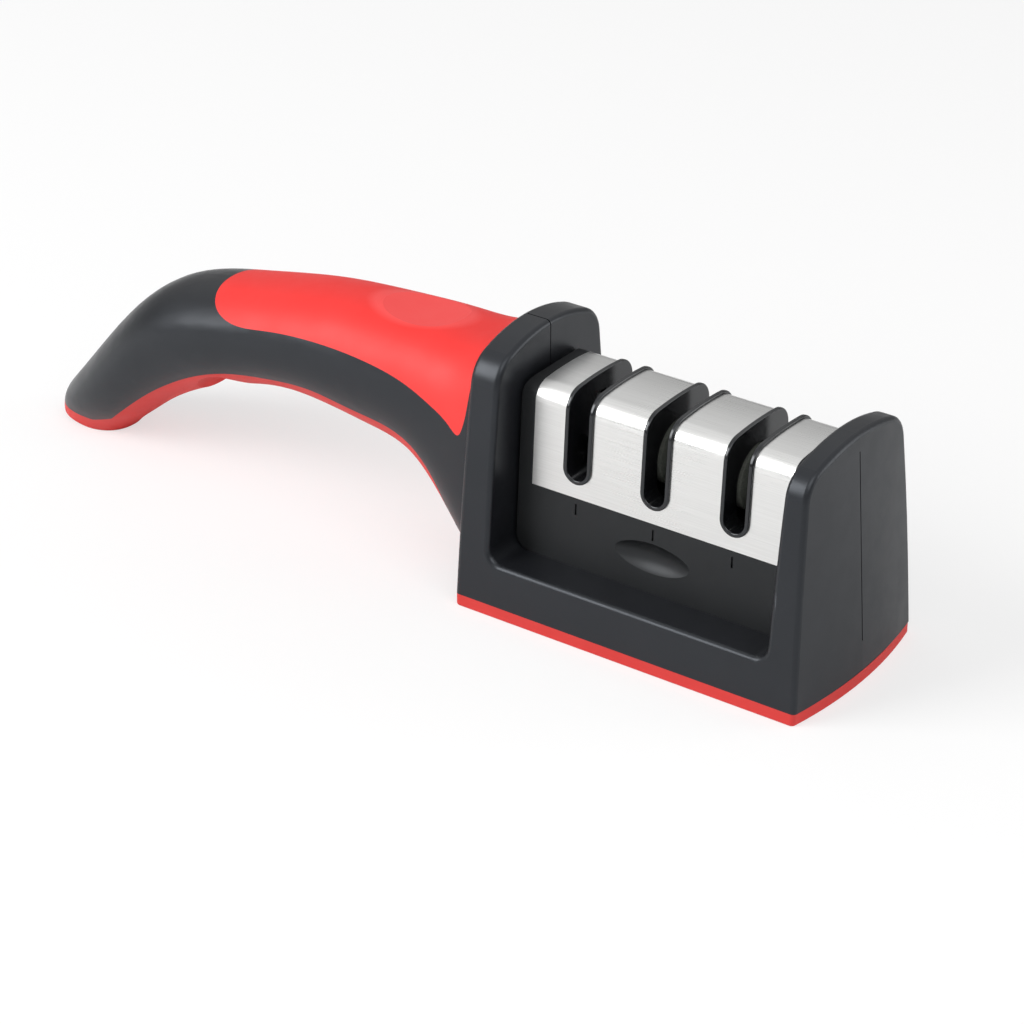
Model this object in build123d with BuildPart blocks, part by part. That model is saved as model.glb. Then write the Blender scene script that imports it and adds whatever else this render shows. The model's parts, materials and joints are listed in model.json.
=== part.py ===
from build123d import *

import math
import os

os.makedirs("parts", exist_ok=True)

# Frame: the origin is the middle of the flat underside, +X points to the nose,
# the handle runs towards -X, the front is -Y and +Z is up. Lengths are in
# millimetres and angles in degrees.

# Base block with its two posts
base_width = 48.4
side_draft = 5.3
side_bulge = 0.5
sole_thickness = 3.0
sole_edge = 0.5
deck_height = 13.0
recess_corner = 3.2
rim_edge = 1.2
end_edge = 1.2
collar_reach = 44.2
collar_thickness = 8.5
collar_lean = 1.1
collar_shoulder = 57.6
collar_crown = 62.4
collar_corner = 8.0
nose_reach = 43.0
nose_bulge = 2.6
nose_top_bulge = 1.0
nose_lean = 2.6
nose_thickness = 7.7
nose_inner_lean = 0.6
nose_shoulder = 54.0
nose_crown = 57.9
nose_corner = 7.0

# Moulded walls and fits
shell_wall = 2.4
parting_groove_width = 0.3
parting_groove_depth = 0.8
parting_groove_start = 10.0
seat_gap = 0.2
slide_gap = 0.3
running_gap = 0.04
overrun = 1.0

# Handle, as ovals from the collar to the butt
handle_start = 43.0
handle_length = 137.0
handle_rise = 61.0
handle_width = 31.0
handle_root_top = 58.6
section_points = 16
foot_edge = 0.9
# x and z of the top line, x and z of the bottom line, the width, and the power
# of the oval's curve: two is an ellipse, more is squarer
section_shares = [
    (-0.012, handle_root_top / handle_rise, 0.00, 0.10, 1.29, 3.2),
    (0.07, 0.925, 0.055, 0.14, 1.20, 2.8),
    (0.15, 0.93, 0.15, 0.36, 1.10, 2.4),
    (0.27, 0.925, 0.26, 0.425, 1.03, 2.2),
    (0.42, 0.89, 0.41, 0.465, 1.00, 2.2),
    (0.58, 0.82, 0.53, 0.425, 1.00, 2.2),
    (0.73, 0.718, 0.65, 0.325, 1.00, 2.2),
    (0.865, 0.436, 0.76, 0.18, 0.94, 2.2),
    (0.953, 0.21, 0.82, 0.075, 0.79, 2.2),
    (1.00, 0.03, 0.86, -0.01, 0.52, 2.2),
]

# Soft inlays of the handle
grip_thickness = 3.0
foot_thickness = 4.6
# x and z of the top grip's edge: down the collar, round the tip, back to the round end
top_grip_shares = [
    (0.008, 0.93),
    (0.012, 0.78),
    (0.0175, 0.685),
    (0.029, 0.641),
    (0.046, 0.66),
    (0.085, 0.702),
    (0.14, 0.744),
    (0.24, 0.776),
    (0.353, 0.779),
    (0.446, 0.76),
    (0.526, 0.74),
    (0.573, 0.765),
    (0.603, 0.81),
    (0.63, 0.87),
]
# x and z of the underside strip's upper edge, from the foot to the collar
underside_grip_shares = [
    (0.84, 0.106),
    (0.784, 0.212),
    (0.73, 0.307),
    (0.669, 0.396),
    (0.609, 0.466),
    (0.535, 0.522),
    (0.45, 0.551),
    (0.359, 0.57),
    (0.28, 0.55),
    (0.2, 0.538),
    (0.145, 0.508),
    (0.101, 0.433),
    (0.07, 0.3),
]
foot_line_share = 0.883
scoop_length = 29.0
scoop_depth = 1.8
scoop_share = (0.197, 0.94)
finger_radius = 12.0
finger_share = (0.558, 0.482)

# Screws
base_screw_radius = 1.1
base_screw_head_radius = 2.2
base_screw_length = 6.0
base_screw_end_inset = 8.4
base_screw_side_inset = 3.8
boss_wall = 1.5
shell_screw_radius = 1.3
shell_screw_head_radius = 2.6
shell_screw_head_height = 1.8
shell_screw_length = 13.0
shell_screw_seat = 5.0
shell_screw_shares = [(0.262, 0.665), (0.60, 0.60)]
plate_screw_radius = 1.0
plate_screw_head_radius = 1.9
plate_screw_length = 8.0
cross_slot_width = 0.6
cross_slot_depth = 0.7
cross_slot_share = 1.3

# Base plate
base_plate_thickness = 2.0

# Cartridge: left end, right end, depth at the shoulder and draft of the moulded body
cartridge_left = 35.0
cartridge_right = 35.0
cartridge_depth = 22.8
cartridge_draft = 3.6
cartridge_crown = 53.3
cartridge_shoulder = 52.5
cartridge_bend = 4.4
cartridge_foot_corner = 3.8
tail_inset = 1.4
tail_bottom = 7.5
tail_wall = 1.4
cartridge_plate_thickness = 1.6
plate_screw_inset = 2.4
plate_boss_height = 12.0
cover_left = 31.4
cover_right = 32.9
cover_thickness = 0.6
cover_bottom = 29.4
cover_fit = 0.05

# Slots
slot_middle = 0.2
slot_pitch = 19.9
slot_width = 7.2
slot_bottom = 32.7
liner_wall = 1.0
liner_proud = 0.6
liner_edge = 0.3
liner_fit = 0.05

# Finger recess, the same at the front and at the rear
recess_x = 0.3
recess_z = 21.4
recess_length = 19.0
recess_height = 7.0
recess_depth = 1.6
clip_slit_width = 0.5
clip_slit_height = 2.6
clip_slit_depth = 0.4
clip_slit_drop = 1.4

# Grit wheels
wheel_radius = 7.5
wheel_height = 40.8
wheel_thickness = 2.2
wheel_gap = 4.0
wheel_hub_gap = 0.2
wheel_hub_radius = 2.7
wheel_edge = 0.3
wheel_window_gap = 0.5
sleeve_radius = 2.2
sleeve_length = 10.0
axle_radius = 1.5
axle_length = 14.4
axle_chamfer = 0.3
rib_thickness = 1.6
rib_bottom = 34.5
rib_gap = 0.2
cradle_width = 7.0
axle_stop_thickness = 1.0
axle_stop_rise = 1.0

# Carbide blades of the coarse slot and their yoke
blade_length = 11.0
blade_width = 4.5
blade_thickness = 1.5
blade_gap = 0.2
blade_tilt = 20.0
blade_v_height = 41.5
blade_tail = 3.0
yoke_width = 18.6
yoke_depth = 8.0
yoke_bottom = 22.5
yoke_guide_thickness = 1.4
yoke_guide_reach = 2.0
yoke_post_length = 12.0
blade_screw_radius = 1.0
blade_screw_head_radius = 1.8
blade_screw_head_height = 1.2
blade_screw_length = 5.0
blade_screw_rise = 3.5


def half_width(height):
    return base_width / 2 - (height - sole_thickness) * math.tan(math.radians(side_draft))


def lean(height, angle):
    return (height - sole_thickness) * math.tan(math.radians(angle))


def on_handle(x_share, z_share):
    return -handle_start - x_share * handle_length, z_share * handle_rise


def crowned_outline(shoulder, crown, corner):
    # Drafted, faintly swollen sides under a low arc, with round shoulders
    side = half_width(shoulder)
    foot = half_width(sole_thickness)
    middle = (sole_thickness + shoulder) / 2
    swell = half_width(middle) + side_bulge
    with BuildSketch() as outline:
        with BuildLine():
            Line((-foot, sole_thickness), (foot, sole_thickness))
            ThreePointArc((foot, sole_thickness), (swell, middle), (side, shoulder))
            ThreePointArc((side, shoulder), (0, crown), (-side, shoulder))
            ThreePointArc((-side, shoulder), (-swell, middle), (-foot, sole_thickness))
        make_face()
        fillet(outline.vertices().group_by(Axis.Y)[-1], corner)
    return outline.sketch


def recess_outline():
    # The open space between the posts above the deck, seen from the front
    collar_wall = collar_thickness - collar_reach
    nose_wall = nose_reach - nose_thickness
    top = collar_crown + overrun
    with BuildSketch() as outline:
        with BuildLine():
            Polyline(
                (collar_wall, top),
                (collar_wall, deck_height),
                (nose_wall, deck_height),
                (nose_wall + lean(top, nose_inner_lean), top),
                close=True,
            )
        make_face()
        fillet(outline.vertices().group_by(Axis.Y)[0], recess_corner)
    return outline.sketch


def past_the_nose(inset):
    # Everything beyond the leaning, bulged nose end
    side = base_width / 2 + overrun
    far = nose_reach + base_width
    with BuildPart() as beyond:
        for level in (0, collar_crown + overrun):
            corner = nose_reach - lean(level, nose_lean) - inset
            bulge = nose_bulge + (nose_top_bulge - nose_bulge) * level / nose_crown
            with BuildSketch(Plane.XY.offset(level)):
                with BuildLine():
                    ThreePointArc((corner, -side), (corner + bulge, 0), (corner, side))
                    Polyline((corner, side), (far, side), (far, -side), (corner, -side))
                make_face()
        loft(ruled=True)
    return beyond.part


def section_frame(shares):
    top_x, top_z = on_handle(shares[0], shares[1])
    bottom_x, bottom_z = on_handle(shares[2], shares[3])
    top = Vector(top_x, 0, top_z)
    bottom = Vector(bottom_x, 0, bottom_z)
    rise = top - bottom
    plane = Plane(origin=(top + bottom) * 0.5, x_dir=(0, 1, 0), z_dir=Vector(0, 1, 0).cross(rise))
    return plane, rise.length / 2


def handle_form(inset, lowest):
    # One smooth body through squarish ovals, cut flat at its lowest level, with a finger hollow below
    with BuildPart() as form:
        for shares in section_shares:
            plane, half_height = section_frame(shares)
            across = shares[4] * handle_width / 2 - inset
            up = half_height - inset
            power = 2 / shares[5]
            with BuildSketch(plane):
                with BuildLine():
                    points = []
                    for step in range(section_points):
                        turn = 2 * math.pi * step / section_points
                        cosine = math.cos(turn)
                        sine = math.sin(turn)
                        points.append((
                            across * math.copysign(abs(cosine) ** power, cosine),
                            up * math.copysign(abs(sine) ** power, sine),
                        ))
                    Spline(*points, periodic=True)
                make_face()
        loft()
        split(bisect_by=Plane.XY.offset(lowest), keep=Keep.TOP)
        if lowest == 0:
            fillet(form.faces().sort_by(Axis.Z)[0].edges(), foot_edge)
        finger_x, finger_top = on_handle(*finger_share)
        with BuildSketch(Plane.XZ):
            with Locations((finger_x, finger_top - finger_radius)):
                Circle(finger_radius + inset)
        extrude(amount=handle_width, both=True, mode=Mode.SUBTRACT)
    return form.part


def top_grip_region():
    # Seen from the front: above the grip's lower edge
    edge = [on_handle(*share) for share in top_grip_shares]
    ceiling = handle_rise + collar_crown
    with BuildSketch() as region:
        with BuildLine():
            Spline(*edge)
            Polyline(edge[-1], (edge[-1][0], ceiling), (edge[0][0], ceiling), edge[0])
        make_face()
    return region.sketch


def underside_grip_region():
    # Seen from the front: below the strip's upper edge, with the butt foot
    edge = [on_handle(*share) for share in underside_grip_shares]
    foot_x, _ = on_handle(foot_line_share, 0)
    far_x = -handle_start - handle_length - base_width
    with BuildSketch() as region:
        with BuildLine():
            Spline(*edge)
            Polyline(
                edge[-1],
                (edge[-1][0], -base_width),
                (far_x, -base_width),
                (far_x, foot_thickness),
                (foot_x, foot_thickness),
                edge[0],
            )
        make_face()
    return region.sketch


def cartridge_side(height):
    return cartridge_depth / 2 + (cartridge_shoulder - height) * math.tan(math.radians(cartridge_draft))


def cartridge_outline(grow, draft=cartridge_draft):
    # The cartridge seen from the nose: drafted sides, tight bends and a faint crown
    side = cartridge_depth / 2 + grow
    foot = side + (cartridge_shoulder + grow) * math.tan(math.radians(draft))
    with BuildSketch() as outline:
        with BuildLine():
            Polyline((-side, cartridge_shoulder + grow), (-foot, 0), (foot, 0), (side, cartridge_shoulder + grow))
            ThreePointArc(
                (side, cartridge_shoulder + grow),
                (0, cartridge_crown + grow),
                (-side, cartridge_shoulder + grow),
            )
        make_face()
        fillet(outline.vertices().group_by(Axis.Y)[-1], cartridge_bend + grow)
    return outline.sketch


def slot_outline(width, middle):
    # A round-bottomed slot, open at the top
    centre = slot_bottom + slot_width / 2
    height = cartridge_crown + liner_proud + overrun - centre
    with BuildSketch() as outline:
        with Locations((middle, centre)):
            Circle(width / 2)
        with Locations((middle, centre + height / 2)):
            Rectangle(width, height)
    return outline.sketch


def screw(head_radius, head_height, shank_radius, length, countersunk):
    # Head downwards at the origin, shank up along +Z, with a cross recess in the head
    outline = [(0, 0), (head_radius, 0)]
    if not countersunk:
        outline.append((head_radius, head_height))
    outline += [(shank_radius, head_height), (shank_radius, length - shank_radius), (0, length)]
    with BuildPart() as piece:
        with BuildSketch(Plane.XZ):
            with BuildLine():
                Polyline(*outline, close=True)
            make_face()
        revolve(axis=Axis.Z)
        with BuildSketch(Plane.XY):
            Rectangle(cross_slot_share * head_radius, cross_slot_width)
            Rectangle(cross_slot_width, cross_slot_share * head_radius)
        extrude(amount=cross_slot_depth, mode=Mode.SUBTRACT)
    return piece.part


slot_middles = [slot_middle - slot_pitch, slot_middle, slot_middle + slot_pitch]
shell_screw_spots = [on_handle(*share) for share in shell_screw_shares]
tail_left = cartridge_left - tail_inset
tail_right = cartridge_right - tail_inset
tail_half_depth = cartridge_depth / 2 - tail_inset
core_left = tail_left - tail_wall
core_right = tail_right - tail_wall
core_half_depth = tail_half_depth - tail_wall
core_top = cartridge_shoulder - (cartridge_depth / 2 - core_half_depth)
deck_underside = deck_height - shell_wall
nose_cavity = nose_reach - lean(deck_underside, nose_lean) - shell_wall
plate_top = sole_thickness + base_plate_thickness
base_screw_y = half_width(plate_top) - shell_wall - base_screw_side_inset
base_screw_spots = [
    (x, side * base_screw_y)
    for x in (shell_wall + base_screw_end_inset - collar_reach, nose_cavity - base_screw_end_inset)
    for side in (-1, 1)
]

# Outer form of the base block and its posts
with BuildPart() as housing_block:
    with BuildSketch(Plane.YZ.offset(-collar_reach)):
        add(crowned_outline(collar_shoulder, collar_crown, collar_corner))
    extrude(amount=collar_reach + nose_reach + 2 * nose_bulge)
    with BuildSketch(Plane.YZ):
        Rectangle(2 * base_width, 2 * (collar_crown + overrun))
        add(crowned_outline(nose_shoulder, nose_crown, nose_corner), mode=Mode.SUBTRACT)
        with Locations((0, -collar_crown / 2)):
            Rectangle(2 * base_width, collar_crown + 2 * deck_height, mode=Mode.SUBTRACT)
    extrude(amount=nose_reach + 3 * nose_bulge, mode=Mode.SUBTRACT)
    with BuildSketch(Plane.XZ):
        add(recess_outline())
    extrude(amount=base_width, both=True, mode=Mode.SUBTRACT)
    fillet(housing_block.edges(Select.LAST).filter_by(Axis.Y, reverse=True), rim_edge)
    with BuildSketch(Plane.XZ):
        with BuildLine():
            top = collar_crown + overrun
            Polyline(
                (-collar_reach, sole_thickness),
                (-collar_reach + lean(top, collar_lean), top),
                (-collar_reach - overrun, top),
                (-collar_reach - overrun, sole_thickness),
                close=True,
            )
        make_face()
    extrude(amount=base_width, both=True, mode=Mode.SUBTRACT)
    add(past_the_nose(0), mode=Mode.SUBTRACT)
    fillet(housing_block.edges(Select.LAST).filter_by(lambda edge: edge.center().Z > sole_thickness + overrun), end_edge)
    collar_face = housing_block.faces().sort_by(Axis.X)[0]
    fillet(collar_face.edges().filter_by(lambda edge: edge.center().Z > sole_thickness + overrun), end_edge)

# Outer form of the handle, with a thumb scoop on top
with BuildPart() as handle_body:
    add(handle_form(0, 0))
    scoop_x, scoop_z = on_handle(*scoop_share)
    scoop_radius = (scoop_length**2 / 4 + scoop_depth**2) / (2 * scoop_depth)
    with BuildSketch(Plane.XZ):
        with Locations((scoop_x, scoop_z - scoop_depth + scoop_radius)):
            Circle(scoop_radius)
    extrude(amount=handle_width, both=True, mode=Mode.SUBTRACT)

handle_core = handle_form(grip_thickness, foot_thickness)
handle_hollow = handle_form(grip_thickness + shell_wall, foot_thickness + shell_wall)

# Red inlay on top of the handle
with BuildPart() as handle_top_grip:
    add(handle_body.part)
    with BuildSketch(Plane.XZ):
        add(top_grip_region())
    extrude(amount=base_width, both=True, mode=Mode.INTERSECT)
    add(handle_core, mode=Mode.SUBTRACT)
    add(housing_block.part, mode=Mode.SUBTRACT)

# Red strip under the handle, which ends in the butt foot
with BuildPart() as handle_underside_grip:
    add(handle_body.part)
    with BuildSketch(Plane.XZ):
        add(underside_grip_region())
    extrude(amount=base_width, both=True, mode=Mode.INTERSECT)
    add(handle_core, mode=Mode.SUBTRACT)
    add(housing_block.part, mode=Mode.SUBTRACT)

# Bosses across the hollow handle
with BuildPart() as shell_bosses:
    with BuildSketch(Plane.XZ):
        with Locations(*shell_screw_spots):
            Circle(shell_screw_head_radius + slide_gap + boss_wall)
    extrude(amount=handle_width, both=True)
    add(handle_core, mode=Mode.INTERSECT)

# Both housing halves as one body, before it is parted down the middle
with BuildPart() as housing:
    add(housing_block.part)
    add(handle_body.part)
    add(handle_top_grip.part, mode=Mode.SUBTRACT)
    add(handle_underside_grip.part, mode=Mode.SUBTRACT)
    add(handle_hollow, mode=Mode.SUBTRACT)
    add(shell_bosses.part)
    # Hollow base, open below
    with BuildSketch(Plane.YZ.offset(shell_wall - collar_reach)):
        with BuildLine():
            Polyline(
                (shell_wall - half_width(sole_thickness), sole_thickness),
                (half_width(sole_thickness) - shell_wall, sole_thickness),
                (half_width(deck_underside) - shell_wall, deck_underside),
                (shell_wall - half_width(deck_underside), deck_underside),
                close=True,
            )
        make_face()
    extrude(amount=collar_reach + nose_cavity - shell_wall, mode=Mode.SUBTRACT)
    # The cartridge's tail goes through the deck
    with BuildSketch(Plane.XY.offset(tail_bottom)):
        with Locations(((tail_right - tail_left) / 2, 0)):
            Rectangle(tail_left + tail_right + 2 * slide_gap, 2 * (tail_half_depth + slide_gap))
    extrude(amount=collar_crown, mode=Mode.SUBTRACT)
    for x, y in base_screw_spots:
        with BuildSketch(Plane.XY.offset(plate_top)):
            with Locations((x, y)):
                Circle(base_screw_radius + boss_wall)
        extrude(amount=deck_underside - plate_top)
        with BuildSketch(Plane.XY.offset(plate_top)):
            with Locations((x, y)):
                Circle(base_screw_radius + running_gap)
        extrude(amount=deck_underside - plate_top, mode=Mode.SUBTRACT)

    # Shell screws go in from the rear, through the rear half into the front one
    with BuildSketch(Plane.XZ.offset(-shell_screw_seat)):
        with Locations(*shell_screw_spots):
            Circle(shell_screw_head_radius + slide_gap)
    extrude(amount=-handle_width, mode=Mode.SUBTRACT)
    with BuildSketch(Plane.XZ.offset(-shell_screw_seat)):
        with Locations(*shell_screw_spots):
            Circle(shell_screw_radius + running_gap)
    extrude(amount=shell_screw_length + seat_gap, mode=Mode.SUBTRACT)
    # The hairline where the halves meet shows on the nose and on the collar
    groove_half = parting_groove_width / 2
    groove_start = -collar_reach + lean(collar_crown, collar_lean) + end_edge
    collar_wall = collar_thickness - collar_reach
    with BuildSketch(Plane.XZ):
        with BuildLine():
            Polyline(
                (groove_start, collar_crown + overrun),
                (groove_start, collar_crown - parting_groove_depth),
                (collar_wall - parting_groove_depth, collar_crown - parting_groove_depth),
                (collar_wall - parting_groove_depth, deck_height + recess_corner),
                (collar_wall + overrun, deck_height + recess_corner),
                (collar_wall + overrun, collar_crown + overrun),
                close=True,
            )
        make_face()
    extrude(amount=groove_half, both=True, mode=Mode.SUBTRACT)

with BuildPart() as nose_groove:
    with BuildSketch(Plane.XZ):
        with Locations((nose_reach, (parting_groove_start + nose_shoulder) / 2)):
            Rectangle(2 * nose_thickness, nose_shoulder - parting_groove_start)
    extrude(amount=groove_half, both=True)
    add(past_the_nose(parting_groove_depth), mode=Mode.INTERSECT)

shells = {}
for name, side in (("housing_front_shell", Keep.TOP), ("housing_rear_shell", Keep.BOTTOM)):
    with BuildPart() as shell:
        add(housing.part)
        add(nose_groove.part, mode=Mode.SUBTRACT)
        split(bisect_by=Plane.XZ, keep=side)
    shells[name] = shell

# Red sole under the base
with BuildPart() as nonslip_sole:
    side = half_width(sole_thickness)
    with BuildSketch(Plane.XY) as sole_plan:
        with BuildLine():
            ThreePointArc((nose_reach, -side), (nose_reach + nose_bulge, 0), (nose_reach, side))
            Polyline((nose_reach, side), (-collar_reach, side), (-collar_reach, -side), (nose_reach, -side))
        make_face()
        fillet(sole_plan.vertices(), end_edge)
    extrude(amount=sole_thickness)
    fillet(nonslip_sole.faces().sort_by(Axis.Z)[0].edges(), sole_edge)

# Plate that closes the hollow base, with countersunk screws
plate_inset = shell_wall + seat_gap
base_plate_length = collar_reach + nose_cavity - plate_inset - seat_gap
with BuildPart() as base_plate:
    with BuildSketch(Plane.XY.offset(sole_thickness)):
        with Locations(((base_plate_length / 2 - collar_reach + plate_inset), 0)):
            Rectangle(base_plate_length, 2 * (half_width(plate_top) - plate_inset))
    extrude(amount=base_plate_thickness)
    fillet(base_plate.edges().filter_by(Axis.Z), end_edge / 2)
    with Locations(Plane((0, 0, sole_thickness), x_dir=(1, 0, 0), z_dir=(0, 0, -1))):
        with Locations(*base_screw_spots):
            CounterSinkHole(
                base_screw_radius + running_gap,
                base_screw_head_radius + running_gap,
                base_plate_thickness,
                counter_sink_angle=90,
            )

base_screw = screw(base_screw_head_radius, base_screw_head_radius - base_screw_radius, base_screw_radius,
                   base_screw_length, True)
with BuildPart() as base_screws:
    for x, y in base_screw_spots:
        add(Pos(x, y, sole_thickness) * base_screw)

shell_screw = screw(shell_screw_head_radius, shell_screw_head_height, shell_screw_radius,
                    shell_screw_length + shell_screw_head_height, False)
with BuildPart() as shell_screws:
    for x, z in shell_screw_spots:
        add(Pos(x, shell_screw_seat + shell_screw_head_height, z) * Rot(90, 0, 0) * shell_screw)

# Moulded body of the cartridge: a box on the deck, a tail through it and the frame under the cover
with BuildPart() as cartridge_body:
    with BuildSketch(Plane.YZ.offset(-cartridge_left)):
        add(cartridge_outline(0))
    extrude(amount=cartridge_left + cartridge_right)
    with BuildSketch(Plane.XZ) as front:
        with Locations(((cartridge_right - cartridge_left) / 2, (cartridge_crown + overrun + deck_height) / 2)):
            Rectangle(cartridge_left + cartridge_right, cartridge_crown + overrun - deck_height)
        fillet(front.vertices().group_by(Axis.Z)[0], cartridge_foot_corner)
    extrude(amount=cartridge_depth, both=True, mode=Mode.INTERSECT)
    # Seat of the cover between the two end flanges
    with BuildSketch(Plane.YZ.offset(-cover_left - cover_fit)):
        with Locations((0, cover_bottom + cartridge_crown)):
            Rectangle(2 * cartridge_depth, 2 * cartridge_crown)
        add(cartridge_outline(-cover_thickness - cover_fit), mode=Mode.SUBTRACT)
    extrude(amount=cover_left + cover_right + 2 * cover_fit, mode=Mode.SUBTRACT)
    with BuildSketch(Plane.XY.offset(tail_bottom)):
        with Locations(((tail_right - tail_left) / 2, 0)):
            Rectangle(tail_left + tail_right, 2 * tail_half_depth)
    extrude(amount=deck_height + cartridge_foot_corner - tail_bottom)
    # One straight-sided hollow from the tail's end up to the roof
    with BuildSketch(Plane.YZ.offset(-core_left)):
        add(cartridge_outline(core_half_depth - cartridge_depth / 2, 0))
    extrude(amount=core_left + core_right, mode=Mode.SUBTRACT)
    # Ribs that carry the axles, open below for the cradle posts
    for middle in slot_middles[1:]:
        for side in (-1, 1):
            rib_middle = middle + side * (sleeve_length / 2 + rib_gap + rib_thickness / 2)
            with BuildSketch(Plane.YZ.offset(rib_middle - rib_thickness / 2)):
                with Locations((0, (rib_bottom + core_top + overrun) / 2)):
                    Rectangle(2 * (core_half_depth + overrun), core_top + overrun - rib_bottom)
                with Locations((0, wheel_height)):
                    Circle(axle_radius + running_gap, mode=Mode.SUBTRACT)
                with Locations((0, (wheel_height + rib_bottom - overrun) / 2)):
                    Rectangle(
                        2 * (axle_radius + running_gap),
                        wheel_height - rib_bottom + overrun,
                        mode=Mode.SUBTRACT,
                    )
            extrude(amount=rib_thickness)
    # Ribs and guides beside the blade holder
    for side in (-1, 1):
        rib_inner = yoke_width / 2 + seat_gap
        with BuildSketch(Plane.XY.offset(rib_bottom)):
            with Locations((slot_middles[0] + side * (rib_inner + rib_thickness / 2), 0)):
                Rectangle(rib_thickness, 2 * (core_half_depth + overrun))
            guide_x = slot_middles[0] + side * (rib_inner - yoke_guide_reach / 2 + overrun / 2)
            guide_y = yoke_depth / 2 + seat_gap + yoke_guide_thickness / 2
            with Locations((guide_x, -guide_y), (guide_x, guide_y)):
                Rectangle(yoke_guide_reach + overrun, yoke_guide_thickness)
        extrude(amount=core_top + overrun - rib_bottom)
    # Screw bosses in the corners of the hollow
    plate_screw_spots = [
        (x, y)
        for x in (plate_screw_inset - core_left, core_right - plate_screw_inset)
        for y in (plate_screw_inset - core_half_depth, core_half_depth - plate_screw_inset)
    ]
    with BuildSketch(Plane.XY.offset(tail_bottom + cartridge_plate_thickness)):
        with Locations(*plate_screw_spots):
            Circle(plate_screw_radius + boss_wall)
    extrude(amount=plate_boss_height)
    with BuildSketch(Plane.XY.offset(tail_bottom + cartridge_plate_thickness)):
        with Locations(*plate_screw_spots):
            Circle(plate_screw_radius + running_gap)
    extrude(amount=plate_screw_length, mode=Mode.SUBTRACT)
    # Slots for the liners
    with BuildSketch(Plane.XZ):
        for middle in slot_middles:
            add(slot_outline(slot_width, middle))
    extrude(amount=cartridge_depth, both=True, mode=Mode.SUBTRACT)
    # Lens-shaped finger recesses, and the slits that the cover's tabs spring into
    spindle_swell = (recess_height**2 / (4 * recess_depth) + recess_depth) / 2
    spindle_tip = spindle_swell - recess_depth
    for side in (-1, 1):
        spindle_y = side * (cartridge_side(recess_z) + spindle_tip)
        with BuildSketch(Plane((recess_x, spindle_y, recess_z))):
            with BuildLine():
                ThreePointArc(
                    (-recess_length / 2, -side * spindle_tip),
                    (0, -side * spindle_swell),
                    (recess_length / 2, -side * spindle_tip),
                )
                Polyline(
                    (recess_length / 2, -side * spindle_tip),
                    (recess_length / 2, 0),
                    (-recess_length / 2, 0),
                    (-recess_length / 2, -side * spindle_tip),
                )
            make_face()
        revolve(axis=Axis((recess_x, spindle_y, recess_z), (1, 0, 0)), mode=Mode.SUBTRACT)
        slit_z = cover_bottom - clip_slit_drop - clip_slit_height / 2
        with BuildSketch(Plane.XZ.offset(-side * (cartridge_side(slit_z) - clip_slit_depth))):
            with Locations(*[(middle, slit_z) for middle in slot_middles]):
                Rectangle(clip_slit_width, clip_slit_height)
        extrude(amount=-side * overrun, mode=Mode.SUBTRACT)

# Bent stainless cover over the frame
with BuildPart() as cartridge_cover:
    with BuildSketch(Plane.YZ.offset(-cover_left)):
        add(cartridge_outline(0))
        add(cartridge_outline(-cover_thickness), mode=Mode.SUBTRACT)
        with Locations((0, cover_bottom / 2 - overrun)):
            Rectangle(2 * cartridge_depth, cover_bottom + 2 * overrun, mode=Mode.SUBTRACT)
    extrude(amount=cover_left + cover_right)
    with BuildSketch(Plane.XZ):
        for middle in slot_middles:
            add(slot_outline(slot_width, middle))
    extrude(amount=cartridge_depth, both=True, mode=Mode.SUBTRACT)

# Round-bottomed liners, open below where the wheels or the blades come through
slot_liners = {}
for grade, middle in zip(("coarse", "medium", "fine"), slot_middles):
    with BuildPart() as liner:
        with BuildSketch(Plane.XZ):
            add(slot_outline(slot_width - 2 * liner_fit, middle))
            add(slot_outline(slot_width - 2 * (liner_fit + liner_wall), middle), mode=Mode.SUBTRACT)
        extrude(amount=cartridge_depth, both=True)
        with BuildSketch(Plane.YZ.offset(middle - slot_width)):
            add(cartridge_outline(liner_proud))
        extrude(amount=2 * slot_width, mode=Mode.INTERSECT)
        lips = liner.edges().filter_by(Axis.Y, reverse=True).filter_by(Axis.X, reverse=True)
        fillet(lips, liner_edge)
        with BuildSketch(Plane.YZ.offset(middle - slot_width)):
            if grade == "coarse":
                window_half = blade_thickness + blade_gap
                window_top = blade_v_height + blade_length - blade_tail
                with Locations((0, window_top / 2)):
                    Rectangle(2 * window_half, window_top)
            else:
                window_half = wheel_radius + wheel_window_gap
                with Locations((0, wheel_height)):
                    Circle(window_half)
                with Locations((0, wheel_height / 2)):
                    Rectangle(2 * window_half, wheel_height)
        extrude(amount=2 * slot_width, mode=Mode.SUBTRACT)
    slot_liners[grade] = liner

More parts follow.
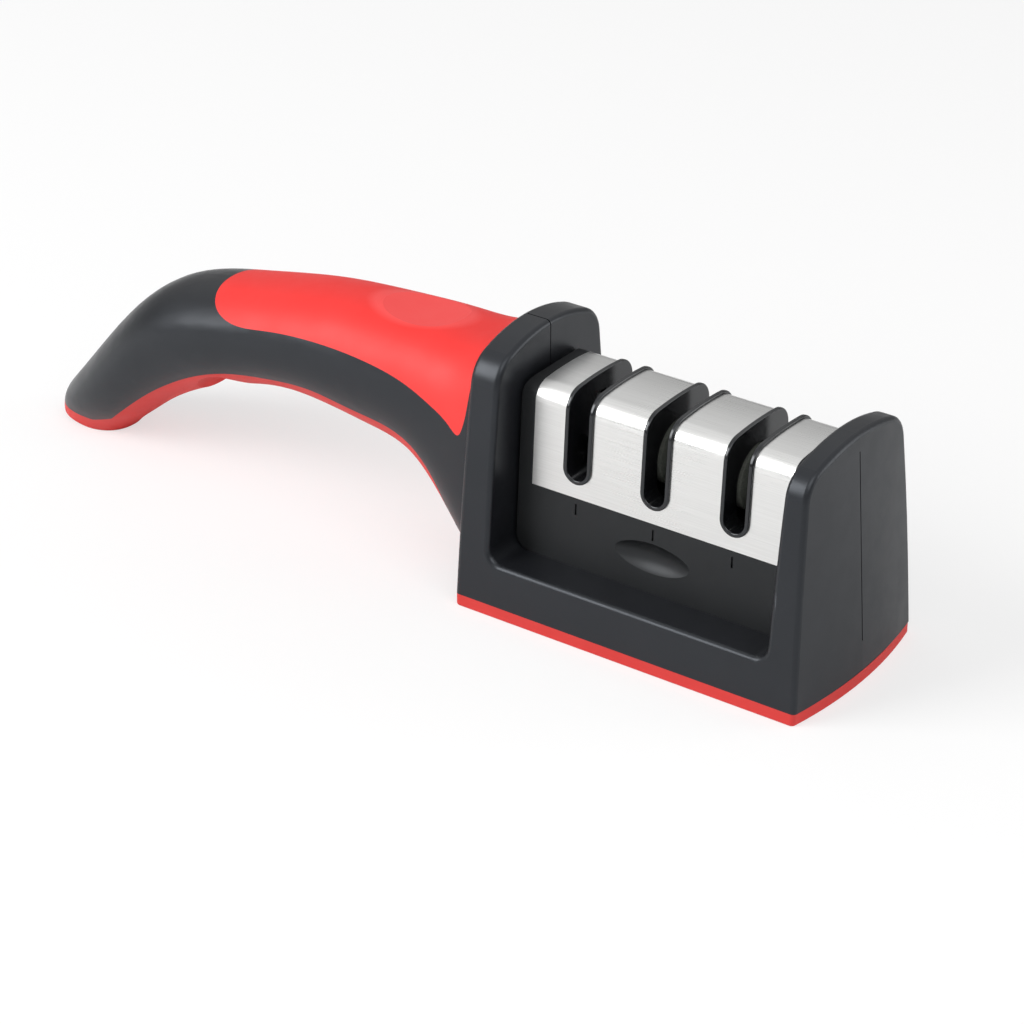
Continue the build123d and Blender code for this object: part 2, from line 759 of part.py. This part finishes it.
# Wheel pairs: two cones that face each other and leave a V for the knife's edge
wheel_pieces = {}
for grade, middle in zip(("medium", "fine"), slot_middles[1:]):
    axis = Axis((middle, 0, wheel_height), (1, 0, 0))
    for hand, side in (("left", -1), ("right", 1)):
        with BuildPart() as wheel:
            with BuildSketch(Plane((middle, 0, wheel_height), x_dir=(side, 0, 0), z_dir=(0, -1, 0))):
                with BuildLine():
                    Polyline(
                        (wheel_hub_gap / 2, sleeve_radius + running_gap),
                        (wheel_hub_gap / 2, wheel_hub_radius),
                        (wheel_gap / 2, wheel_radius),
                        (wheel_gap / 2 + wheel_thickness, wheel_radius),
                        (wheel_gap / 2 + wheel_thickness, sleeve_radius + running_gap),
                        close=True,
                    )
                make_face()
            revolve(axis=axis)
            rims = wheel.edges().filter_by(GeomType.CIRCLE).sort_by(lambda edge: edge.radius)[-2:]
            fillet(rims, wheel_edge)
        wheel_pieces[f"{grade}_wheel_{hand}"] = wheel
    with BuildPart() as sleeve:
        with BuildSketch(Plane.YZ.offset(middle - sleeve_length / 2)):
            with Locations((0, wheel_height)):
                Circle(sleeve_radius)
                Circle(axle_radius + running_gap, mode=Mode.SUBTRACT)
        extrude(amount=sleeve_length)
    wheel_pieces[f"{grade}_wheel_sleeve"] = sleeve
    with BuildPart() as axle:
        with BuildSketch(Plane.YZ.offset(middle - axle_length / 2)):
            with Locations((0, wheel_height)):
                Circle(axle_radius)
        extrude(amount=axle_length)
        chamfer(axle.edges().filter_by(GeomType.CIRCLE), axle_chamfer)
    wheel_pieces[f"{grade}_wheel_axle"] = axle

# Plate that closes the cartridge, with posts that hold the axles and the blade holder up
with BuildPart() as cartridge_bottom_plate:
    plate_face = tail_bottom + cartridge_plate_thickness
    with BuildSketch(Plane.XY.offset(tail_bottom)):
        with Locations(((core_right - core_left) / 2, 0)):
            Rectangle(core_left + core_right - 2 * seat_gap, 2 * (core_half_depth - seat_gap))
    extrude(amount=cartridge_plate_thickness)
    rib_start = sleeve_length / 2 + rib_gap
    stop_start = axle_length / 2 + seat_gap
    stop_end = stop_start + axle_stop_thickness
    for middle in slot_middles[1:]:
        for side in (-1, 1):
            with BuildSketch(Plane.XY.offset(plate_face)):
                with Locations((middle + side * (rib_start + stop_end) / 2, 0)):
                    Rectangle(stop_end - rib_start, cradle_width)
            extrude(amount=rib_bottom - rib_gap - plate_face)
            with BuildSketch(Plane.XY.offset(plate_face)):
                with Locations((middle + side * (rib_start + stop_end) / 2, 0)):
                    Rectangle(stop_end - rib_start, 2 * axle_radius - rib_gap)
            extrude(amount=wheel_height - axle_radius - running_gap - plate_face)
            with BuildSketch(Plane.XY.offset(plate_face)):
                with Locations((middle + side * (stop_start + stop_end) / 2, 0)):
                    Rectangle(axle_stop_thickness, 2 * axle_radius - rib_gap)
            extrude(amount=wheel_height + axle_stop_rise - plate_face)
    with BuildSketch(Plane.XY.offset(plate_face)):
        with Locations((slot_middles[0], 0)):
            Rectangle(yoke_post_length, yoke_depth)
    extrude(amount=yoke_bottom - plate_face)
    with Locations(Plane((0, 0, tail_bottom), x_dir=(1, 0, 0), z_dir=(0, 0, -1))):
        with Locations(*plate_screw_spots):
            CounterSinkHole(
                plate_screw_radius + running_gap,
                plate_screw_head_radius + running_gap,
                cartridge_plate_thickness,
                counter_sink_angle=90,
            )

plate_screw = screw(plate_screw_head_radius, plate_screw_head_radius - plate_screw_radius, plate_screw_radius,
                    plate_screw_length, True)
with BuildPart() as cartridge_screws:
    for x, y in plate_screw_spots:
        add(Pos(x, y, tail_bottom) * plate_screw)


def blade_plane(side):
    # Its y axis is the cutting edge, its x axis points away from the V
    tilt = math.radians(blade_tilt)
    return Plane(
        (slot_middles[0], side * (blade_gap / 2 + blade_thickness), blade_v_height),
        x_dir=(side * math.cos(tilt), 0, -math.sin(tilt)),
        z_dir=(0, -side, 0),
    )


# Carbide blades of the coarse slot, crossed one in front of the other
carbide_blades = {}
for name, side in (("carbide_blade_front", -1), ("carbide_blade_rear", 1)):
    with BuildPart() as blade:
        with BuildSketch(blade_plane(side)):
            with Locations((blade_width / 2, blade_length / 2 - blade_tail)):
                Rectangle(blade_width, blade_length)
        extrude(amount=blade_thickness)
    carbide_blades[name] = blade

# Forked holder that carries both blades round the coarse liner
blade_screw_place = (blade_width + blade_screw_radius + running_gap, blade_screw_rise)
with BuildPart() as blade_holder:
    with BuildSketch(Plane.XZ):
        with Locations((slot_middles[0], (yoke_bottom + core_top - seat_gap) / 2)):
            Rectangle(yoke_width, core_top - seat_gap - yoke_bottom)
        add(slot_outline(slot_width + 2 * seat_gap, slot_middles[0]), mode=Mode.SUBTRACT)
    extrude(amount=yoke_depth / 2, both=True)
    for side in (-1, 1):
        with BuildSketch(blade_plane(side).offset(-yoke_depth)):
            with Locations((blade_width / 2, blade_length / 2 - blade_tail)):
                Rectangle(blade_width + 2 * running_gap, blade_length + 2 * running_gap)
        extrude(amount=yoke_depth + blade_thickness + running_gap, mode=Mode.SUBTRACT)
        with BuildSketch(blade_plane(side).offset(-yoke_depth)):
            with Locations(blade_screw_place):
                Circle(blade_screw_head_radius + seat_gap)
        extrude(amount=yoke_depth, mode=Mode.SUBTRACT)
        with BuildSketch(blade_plane(side)):
            with Locations(blade_screw_place):
                Circle(blade_screw_radius + running_gap)
        extrude(amount=blade_screw_length, mode=Mode.SUBTRACT)

blade_screw = screw(blade_screw_head_radius, blade_screw_head_height, blade_screw_radius,
                    blade_screw_length + blade_screw_head_height, False)
with BuildPart() as blade_screws:
    for side in (-1, 1):
        place = blade_plane(side).offset(-blade_screw_head_height).location
        add(place * Pos(*blade_screw_place, 0) * blade_screw)

pieces = {
    **shells,
    "handle_top_grip": handle_top_grip,
    "handle_underside_grip": handle_underside_grip,
    "nonslip_sole": nonslip_sole,
    "base_plate": base_plate,
    "base_screws": base_screws,
    "shell_screws": shell_screws,
    "cartridge_body": cartridge_body,
    "cartridge_cover": cartridge_cover,
    **{f"slot_liner_{grade}": liner for grade, liner in slot_liners.items()},
    "cartridge_bottom_plate": cartridge_bottom_plate,
    "cartridge_screws": cartridge_screws,
    **wheel_pieces,
    **carbide_blades,
    "blade_holder": blade_holder,
    "blade_screws": blade_screws,
}
for name, piece in pieces.items():
    piece.part.label = name
    export_step(piece.part, f"parts/{name}.step")
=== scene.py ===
import json

import bpy
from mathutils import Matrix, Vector

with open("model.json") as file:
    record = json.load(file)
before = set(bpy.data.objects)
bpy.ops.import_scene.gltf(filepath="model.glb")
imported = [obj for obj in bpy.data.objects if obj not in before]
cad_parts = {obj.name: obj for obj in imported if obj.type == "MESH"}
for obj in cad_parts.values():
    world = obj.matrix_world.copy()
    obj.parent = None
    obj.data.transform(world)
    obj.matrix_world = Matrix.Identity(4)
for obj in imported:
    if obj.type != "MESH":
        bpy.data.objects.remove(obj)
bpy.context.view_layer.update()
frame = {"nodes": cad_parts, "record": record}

nodes = frame["nodes"]
print("frame loaded:", len(nodes), "nodes")


# camera at the photo's angle

cameraSetup = {
    "place": (0.3236, -0.5137, 0.3563),  # metres
    "target": (-0.04603, 0.0, 0.01199),
    "lens": 112.5,  # mm
    "sensor": 36.0,  # mm
}


def makeCamera():
    data = bpy.data.cameras.new("photoCamera")
    data.lens = cameraSetup["lens"]
    data.sensor_width = cameraSetup["sensor"]
    camera = bpy.data.objects.new("photoCamera", data)
    bpy.context.scene.collection.objects.link(camera)
    camera.location = cameraSetup["place"]
    toTarget = Vector(cameraSetup["target"]) - Vector(cameraSetup["place"])
    camera.rotation_euler = toTarget.to_track_quat("-Z", "Y").to_euler()
    bpy.context.scene.camera = camera


# small helpers for node materials


class Nodes:
    def __init__(self, name):
        self.material = bpy.data.materials.new(name)
        self.material.use_nodes = True
        self.tree = self.material.node_tree
        self.shader = self.tree.nodes["Principled BSDF"]
        self.objectPlace = self.add("ShaderNodeTexCoord").outputs["Object"]

    def add(self, kind, inputs=None, **settings):
        node = self.tree.nodes.new(kind)
        for key, value in settings.items():
            setattr(node, key, value)
        for key, value in (inputs or {}).items():
            if isinstance(value, bpy.types.NodeSocket):
                self.tree.links.new(value, node.inputs[key])
            else:
                node.inputs[key].default_value = value
        return node

    def noise(self, scale, detail=2.0, roughness=0.5, stretch=(1.0, 1.0, 1.0)):
        place = {"Vector": self.objectPlace, "Scale": stretch}
        inputs = {
            "Vector": self.add("ShaderNodeMapping", place).outputs["Vector"],
            "Scale": scale,
            "Detail": detail,
            "Roughness": roughness,
        }
        return self.add("ShaderNodeTexNoise", inputs).outputs["Fac"]

    def spread(self, value, low, high, fromLow=0.35, fromHigh=0.65):
        inputs = {
            "Value": value,
            "From Min": fromLow,
            "From Max": fromHigh,
            "To Min": low,
            "To Max": high,
        }
        return self.add("ShaderNodeMapRange", inputs).outputs["Result"]

    def mixColours(self, factor, first, second):
        inputs = {0: factor, 6: (*first, 1.0), 7: (*second, 1.0)}
        return self.add("ShaderNodeMix", inputs, data_type="RGBA").outputs[2]

    def bump(self, height, strength, distance):
        inputs = {"Height": height, "Strength": strength, "Distance": distance}
        return self.add("ShaderNodeBump", inputs).outputs["Normal"]

    def plug(self, socket, value):
        if isinstance(value, bpy.types.NodeSocket):
            self.tree.links.new(value, self.shader.inputs[socket])
        else:
            self.shader.inputs[socket].default_value = value


# moulded and rubbery plastics

plastics = {
    "housing_black": {
        "name": "housingBlack",
        "colour": (0.0078, 0.0083, 0.0100),
        "lighter": (0.0095, 0.0101, 0.0122),
        "sheen": (0.86, 0.92, 1.0),
        "roughness": 0.34,
        "gloss": 0.42,
        "grain": 2600.0,  # noise scale
        "grainStrength": 0.10,
        "grainDepth": 0.00003,  # metres
    },
    "cartridge_black": {
        "name": "cartridgeBlack",
        "colour": (0.0065, 0.0068, 0.0074),
        "lighter": (0.0080, 0.0084, 0.0090),
        "sheen": (0.92, 0.96, 1.0),
        "roughness": 0.46,
        "gloss": 0.38,
        "grain": 2600.0,
        "grainStrength": 0.10,
        "grainDepth": 0.00003,
    },
    "inner_black": {
        "name": "innerBlack",
        "colour": (0.0080, 0.0080, 0.0088),
        "lighter": (0.0100, 0.0100, 0.0110),
        "sheen": (1.0, 1.0, 1.0),
        "roughness": 0.5,
        "gloss": 0.4,
        "grain": 2000.0,
        "grainStrength": 0.12,
        "grainDepth": 0.00003,
    },
    "liner_black": {
        "name": "linerGloss",
        "colour": (0.0050, 0.0052, 0.0062),
        "lighter": (0.0062, 0.0064, 0.0075),
        "sheen": (0.94, 0.97, 1.0),
        "roughness": 0.17,
        "gloss": 0.55,
        "grain": 900.0,
        "grainStrength": 0.04,
        "grainDepth": 0.00001,
    },
    "grip_red": {
        "name": "gripCoral",
        "colour": (0.79, 0.032, 0.028),
        "lighter": (0.82, 0.037, 0.033),
        "sheen": (1.0, 1.0, 1.0),
        "roughness": 0.5,
        "gloss": 0.33,
        "grain": 2200.0,
        "grainStrength": 0.15,
        "grainDepth": 0.00003,
        "paintedScoopHighlight": {  # painted highlight: a paler oval in the thumb scoop, scaled to a radius of one
            "shift": (4.83, 0.0, 0.0),
            "scale": (69.0, 118.0, 0.0),
            "edge": (0.86, 1.04),
            "share": 0.75,
            "colour": (0.86, 0.085, 0.082),
        },
    },
    "underside_red": {
        "name": "undersideRed",
        "colour": (0.56, 0.032, 0.028),
        "lighter": (0.60, 0.037, 0.033),
        "sheen": (1.0, 1.0, 1.0),
        "roughness": 0.55,
        "gloss": 0.33,
        "grain": 2200.0,
        "grainStrength": 0.15,
        "grainDepth": 0.00003,
    },
}
plasticWear = {
    "patches": 55.0,  # noise scale of the faint colour patches
    "handled": 140.0,  # noise scale of the shinier and duller places
    "shinier": 0.03,
    "duller": 0.04,
}


# paints a highlight into the colour: a paler oval in the grip's thumb scoop
def paintScoopHighlight(m, colour, scoopHighlight):
    place = {"Vector": m.objectPlace, "Location": scoopHighlight["shift"], "Scale": scoopHighlight["scale"]}
    oval = m.add("ShaderNodeMapping", place).outputs["Vector"]
    away = m.add("ShaderNodeVectorMath", {0: oval}, operation="LENGTH").outputs["Value"]
    highlightShare = m.spread(away, scoopHighlight["share"], 0.0, *scoopHighlight["edge"])
    inputs = {0: highlightShare, 6: colour, 7: (*scoopHighlight["colour"], 1.0)}
    return m.add("ShaderNodeMix", inputs, data_type="RGBA").outputs[2]


def mouldedPlastic(look):
    m = Nodes(look["name"])
    patches = m.spread(m.noise(plasticWear["patches"], 3.0), 0.0, 1.0)
    colour = m.mixColours(patches, look["colour"], look["lighter"])
    # painted highlight in the thumb scoop
    if "paintedScoopHighlight" in look:
        colour = paintScoopHighlight(m, colour, look["paintedScoopHighlight"])
    m.plug("Base Color", colour)
    handled = m.noise(plasticWear["handled"], 4.0, 0.6)
    shiny = look["roughness"] - plasticWear["shinier"]
    dull = look["roughness"] + plasticWear["duller"]
    m.plug("Roughness", m.spread(handled, shiny, dull))
    grain = m.noise(look["grain"], 2.0, 0.6)
    m.plug("Normal", m.bump(grain, look["grainStrength"], look["grainDepth"]))
    m.plug("Specular IOR Level", look["gloss"])
    m.plug("Specular Tint", (*look["sheen"], 1.0))
    return m.material


# steel brushed along the base, and ground metal

metals = {
    "cover_steel": {
        "name": "coverSteel",
        "colour": (0.70, 0.70, 0.69),
        "lighter": (0.76, 0.76, 0.75),
        "strokes": 5200.0,
        "roughness": 0.26,
    },
    "carbide": {
        "name": "carbideGround",
        "colour": (0.30, 0.30, 0.31),
        "lighter": (0.36, 0.36, 0.37),
        "strokes": 6000.0,
        "roughness": 0.32,
    },
    "screw_steel": {
        "name": "screwZinc",
        "colour": (0.48, 0.48, 0.47),
        "lighter": (0.55, 0.55, 0.54),
        "strokes": 3000.0,
        "roughness": 0.34,
    },
    "axle_steel": {
        "name": "axleGround",
        "colour": (0.56, 0.56, 0.56),
        "lighter": (0.62, 0.62, 0.62),
        "strokes": 6000.0,
        "roughness": 0.24,
    },
}
brushing = {
    "stretch": (0.012, 1.0, 1.0),  # strokes run along X
    "clouds": 30.0,  # noise scale of the wider dull places
    "duller": 0.05,
    "strength": 0.10,
    "depth": 0.000008,  # metres
}


def brushedSteel(look):
    m = Nodes(look["name"])
    strokes = m.noise(look["strokes"], 3.0, 0.6, brushing["stretch"])
    clouds = m.noise(brushing["clouds"], 2.0)
    m.plug("Base Color", m.mixColours(m.spread(strokes, 0.0, 1.0), look["colour"], look["lighter"]))
    fine = m.spread(strokes, 0.0, brushing["duller"])
    wide = m.spread(clouds, 0.0, brushing["duller"])
    both = m.add("ShaderNodeMath", {0: fine, 1: wide}).outputs[0]
    m.plug("Roughness", m.add("ShaderNodeMath", {0: both, 1: look["roughness"]}).outputs[0])
    m.plug("Normal", m.bump(strokes, brushing["strength"], brushing["depth"]))
    m.plug("Metallic", 1.0)
    return m.material


# bonded grit of the wheels

grits = {
    "medium_grit": {
        "name": "mediumGrit",
        "dark": (0.045, 0.050, 0.042),
        "light": (0.095, 0.102, 0.086),
    },
    "fine_grit": {
        "name": "fineGrit",
        "dark": (0.055, 0.060, 0.051),
        "light": (0.110, 0.118, 0.100),
    },
}
gritTexture = {
    "grains": 3200.0,  # noise scale
    "roughness": 0.85,
    "strength": 0.5,
    "depth": 0.00006,  # metres
}


def bondedGrit(look):
    m = Nodes(look["name"])
    grains = m.noise(gritTexture["grains"], 4.0, 0.7)
    m.plug("Base Color", m.mixColours(m.spread(grains, 0.0, 1.0), look["dark"], look["light"]))
    m.plug("Roughness", gritTexture["roughness"])
    m.plug("Normal", m.bump(grains, gritTexture["strength"], gritTexture["depth"]))
    return m.material


finishes = {}
for looks, makeMaterial in ((plastics, mouldedPlastic), (metals, brushedSteel), (grits, bondedGrit)):
    for slot, look in looks.items():
        finishes[slot] = makeMaterial(look)
print("materials made:", len(finishes))

for part in frame["record"]["subparts"]:
    node = nodes[part["node"]]
    node.data.materials.clear()
    node.data.materials.append(finishes[part["material_slot"]])
print("finishes given to the frame")


# floor, world and lamps

floorSetup = {
    "size": 6.0,  # metres
    "colour": (0.96, 0.96, 0.96),
    "roughness": 0.9,
    "gloss": 0.2,
    "glow": 0.6,  # share of plain white in what the camera sees of it
}


def makeFloor():
    mesh = bpy.data.meshes.new("floor")
    half = floorSetup["size"] / 2
    corners = [(-half, -half, 0.0), (half, -half, 0.0), (half, half, 0.0), (-half, half, 0.0)]
    mesh.from_pydata(corners, [], [(0, 1, 2, 3)])
    floor = bpy.data.objects.new("floor", mesh)
    bpy.context.scene.collection.objects.link(floor)
    m = Nodes("floorPaper")
    m.plug("Base Color", (*floorSetup["colour"], 1.0))
    m.plug("Roughness", floorSetup["roughness"])
    m.plug("Specular IOR Level", floorSetup["gloss"])
    glow = m.add("ShaderNodeEmission", {"Color": (1.0, 1.0, 1.0, 1.0), "Strength": 1.0})
    toCamera = m.add("ShaderNodeLightPath").outputs["Is Camera Ray"]
    share = m.add("ShaderNodeMath", {0: toCamera, 1: floorSetup["glow"]}, operation="MULTIPLY")
    mixed = m.add("ShaderNodeMixShader", {0: share.outputs[0]})
    m.tree.links.new(m.shader.outputs[0], mixed.inputs[1])
    m.tree.links.new(glow.outputs[0], mixed.inputs[2])
    m.tree.links.new(mixed.outputs[0], m.tree.nodes["Material Output"].inputs["Surface"])
    mesh.materials.append(m.material)


worldSetup = {
    "light": 0.42,  # strength that lights the object
    "horizonShine": 0.38,  # strengths that gloss shows
    "skyShine": 0.95,
    "rise": (0.2, 0.75),  # between these upward parts of a direction it goes from one to the other
}


def makeWorld():
    world = bpy.data.worlds.new("studioWorld")
    bpy.context.scene.world = world
    world.use_nodes = True
    tree = world.node_tree
    background = tree.nodes["Background"]
    background.inputs["Color"].default_value = (1.0, 1.0, 1.0, 1.0)

    def add(kind, **settings):
        node = tree.nodes.new(kind)
        for key, value in settings.items():
            setattr(node, key, value)
        return node

    def mixLevels(factor, first, second):
        node = add("ShaderNodeMix")
        for socket, value in ((0, factor), (2, first), (3, second)):
            if isinstance(value, bpy.types.NodeSocket):
                tree.links.new(value, node.inputs[socket])
            else:
                node.inputs[socket].default_value = value
        return node.outputs[0]

    # the sky that gloss shows is darker at the horizon, as round a light tent
    direction = add("ShaderNodeSeparateXYZ")
    tree.links.new(add("ShaderNodeTexCoord").outputs["Generated"], direction.inputs[0])
    sky = add("ShaderNodeMapRange", interpolation_type="SMOOTHSTEP")
    sky.inputs["From Min"].default_value = worldSetup["rise"][0]
    sky.inputs["From Max"].default_value = worldSetup["rise"][1]
    sky.inputs["To Min"].default_value = worldSetup["horizonShine"]
    sky.inputs["To Max"].default_value = worldSetup["skyShine"]
    tree.links.new(direction.outputs["Z"], sky.inputs["Value"])
    rays = add("ShaderNodeLightPath")
    level = mixLevels(rays.outputs["Is Glossy Ray"], worldSetup["light"], sky.outputs["Result"])
    level = mixLevels(rays.outputs["Is Transmission Ray"], level, worldSetup["skyShine"])
    level = mixLevels(rays.outputs["Is Camera Ray"], level, 1.0)
    tree.links.new(level, background.inputs["Strength"])


lamps = {
    "keyLamp": {"place": (0.7, -0.5, 1.1), "size": 0.9, "watts": 6.5},
    "sideLamp": {"place": (-0.8, -0.9, 0.7), "size": 0.8, "watts": 14.5},
    "endLamp": {"place": (1.1, 0.9, 0.35), "size": 0.8, "watts": 5.5},
}
lampAim = (-0.04, 0.0, 0.03)


def makeLamp(name, setup):
    data = bpy.data.lights.new(name, "AREA")
    data.energy = setup["watts"]
    data.size = setup["size"]
    lamp = bpy.data.objects.new(name, data)
    bpy.context.scene.collection.objects.link(lamp)
    lamp.location = setup["place"]
    toAim = Vector(lampAim) - Vector(setup["place"])
    lamp.rotation_euler = toAim.to_track_quat("-Z", "Y").to_euler()


makeCamera()
makeFloor()
makeWorld()
for name, setup in lamps.items():
    makeLamp(name, setup)
bpy.context.scene.view_settings.view_transform = "Standard"
print("studio ready")
